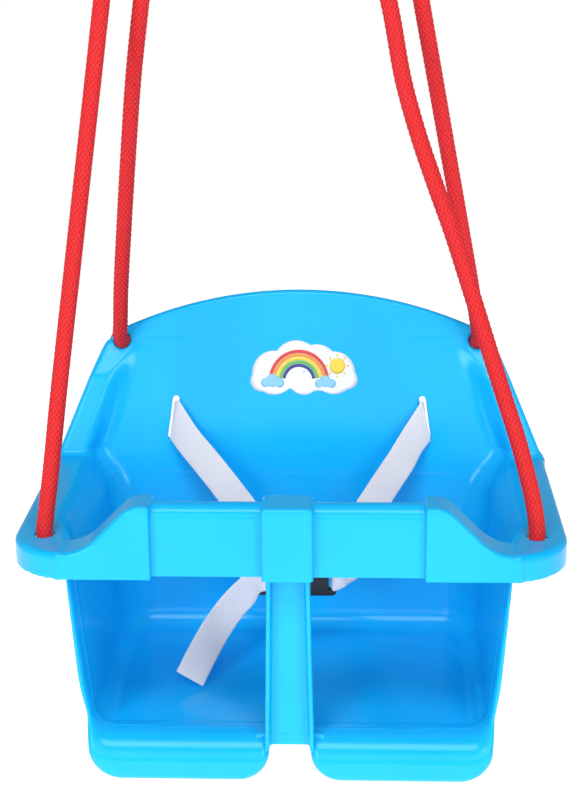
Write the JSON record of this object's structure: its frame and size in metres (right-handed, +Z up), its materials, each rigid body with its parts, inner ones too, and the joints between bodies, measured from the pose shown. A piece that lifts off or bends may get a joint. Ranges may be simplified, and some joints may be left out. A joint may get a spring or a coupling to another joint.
{
  "type": "toddler bucket swing",
  "caption": "Moulded toddler bucket swing with front bar and centre post, four braided ropes with knots, steel D-rings and a webbing belt with side-release buckle.",
  "frame": {"origin": "on the hinge line of the two D-rings' straight bars, straight above the middle of the seat", "axes": "+X to the right as seen by someone facing the front bar, -Y towards the front bar, +Z up"},
  "size_m": [0.385, 0.2745, 0.647],
  "materials": {
    "shell_plastic": "gloss",
    "ring_steel": "zinc plated",
    "rope_fibre": "braided",
    "belt_webbing": "woven",
    "buckle_plastic": "satin",
    "stitch_thread": "thread",
    "sticker_film": "printed film"
  },
  "bodies": {
    "hanger": {"left_ring": "ring_steel", "right_ring": "ring_steel"},
    "swing": {"seat_shell": "shell_plastic", "rope_front_left": "rope_fibre", "rope_back_left": "rope_fibre", "rope_front_right": "rope_fibre", "rope_back_right": "rope_fibre", "eye_front_left": "rope_fibre", "eye_back_left": "rope_fibre", "eye_front_right": "rope_fibre", "eye_back_right": "rope_fibre", "knot_front_left": "rope_fibre", "knot_back_left": "rope_fibre", "knot_front_right": "rope_fibre", "knot_back_right": "rope_fibre", "belt_back_run": "belt_webbing", "belt_left": "belt_webbing", "belt_right": "belt_webbing", "belt_stitching": "stitch_thread", "buckle_socket": "buckle_plastic", "sticker": "sticker_film"},
    "buckle_plug": {"buckle_plug": "buckle_plastic", "belt_tail": "belt_webbing"},
    "prong_upper": {"prong_upper": "buckle_plastic"},
    "prong_lower": {"prong_lower": "buckle_plastic"}
  },
  "joints": [
    {"name": "swing_hinge", "type": "hinge", "parent": "hanger", "child": "swing", "pos_m": [0, 0, 0], "axis": [1, 0, 0], "range_deg": [-40, 40]},
    {"name": "buckle_slide", "type": "slide", "parent": "swing", "child": "buckle_plug", "axis": [-1, 0, 0], "range_m": [0, 0.022]},
    {"name": "prong_upper_squeeze", "type": "hinge", "parent": "buckle_plug", "child": "prong_upper", "pos_m": [-0.0005, 0.023, -0.4937], "axis": [0, 1, 0], "range_deg": [0, 5], "stiffness_Nm_per_rad": 0.3},
    {"name": "prong_lower_squeeze", "type": "hinge", "parent": "buckle_plug", "child": "prong_lower", "pos_m": [-0.0005, 0.023, -0.5143], "axis": [0, -1, 0], "range_deg": [0, 5], "stiffness_Nm_per_rad": 0.3}
  ]
}
